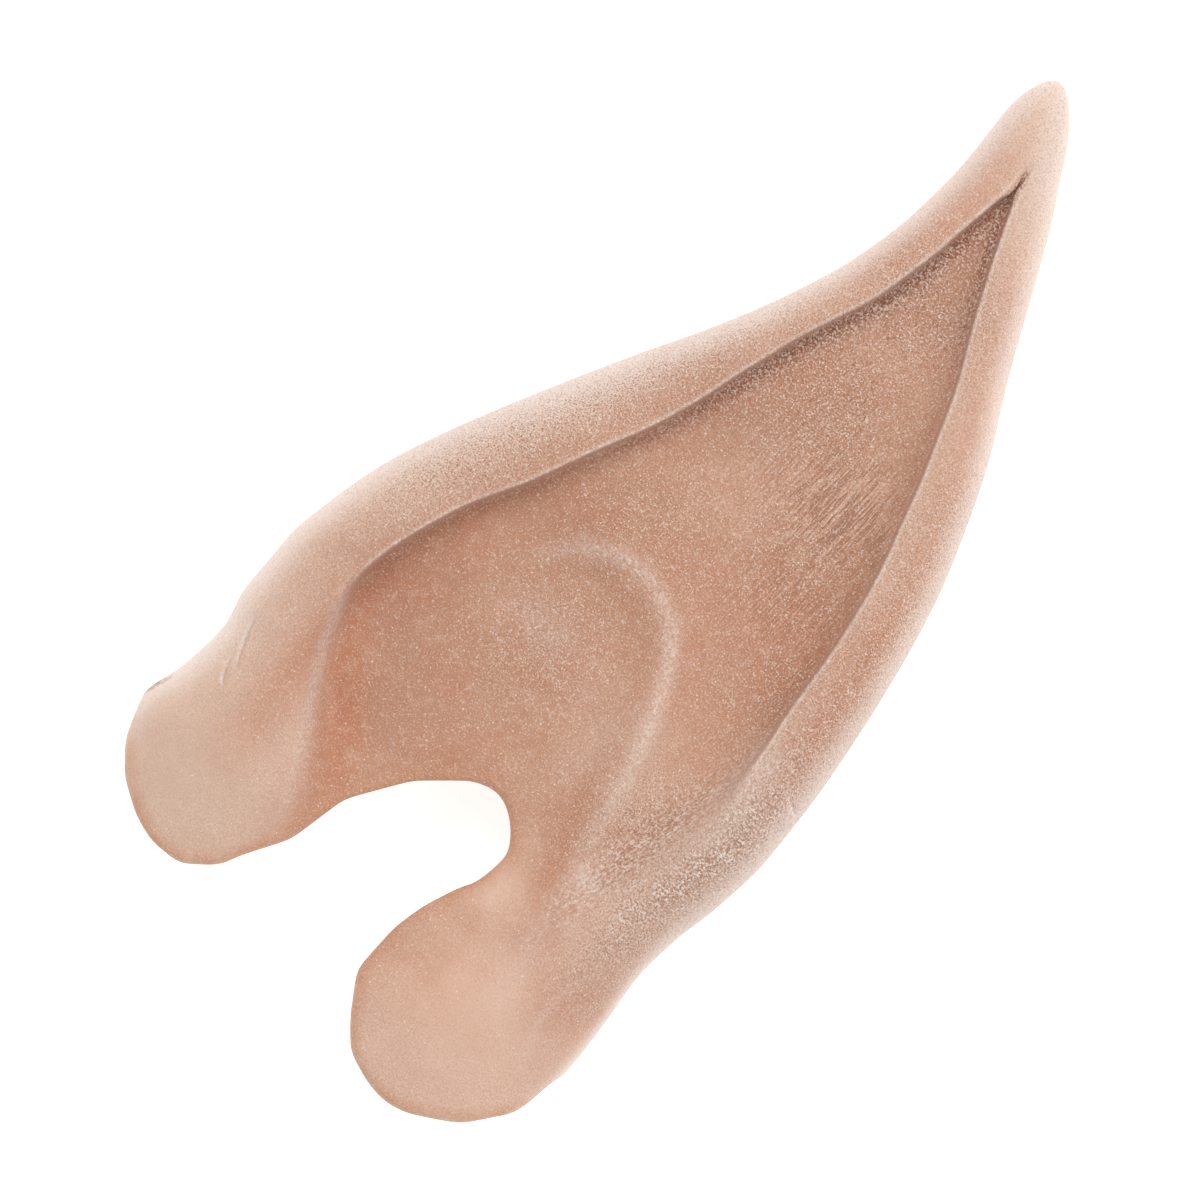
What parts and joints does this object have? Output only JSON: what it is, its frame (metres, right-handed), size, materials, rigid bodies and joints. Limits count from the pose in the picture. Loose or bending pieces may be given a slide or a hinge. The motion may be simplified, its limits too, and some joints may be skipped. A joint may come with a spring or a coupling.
{
  "type": "elf ear tip",
  "caption": "Thin hollow latex ear tip for a left ear: pointed top, rolled rims round a sculpted bowl, and an open base with a notch between rounded lobes.",
  "frame": {"origin": "under the middle of the ear tip's box, on the surface that its back rests on", "axes": "+Y from the open base to the pointed tip, +X from the front rim to the back rim, +Z out of the sculpted face"},
  "size_m": [0.0532, 0.1102, 0.0182],
  "materials": {
    "latex": "matt flesh-coloured cast latex with a dusting of talc"
  },
  "bodies": {
    "root": {"ear_tip": "latex"}
  },
  "joints": []
}
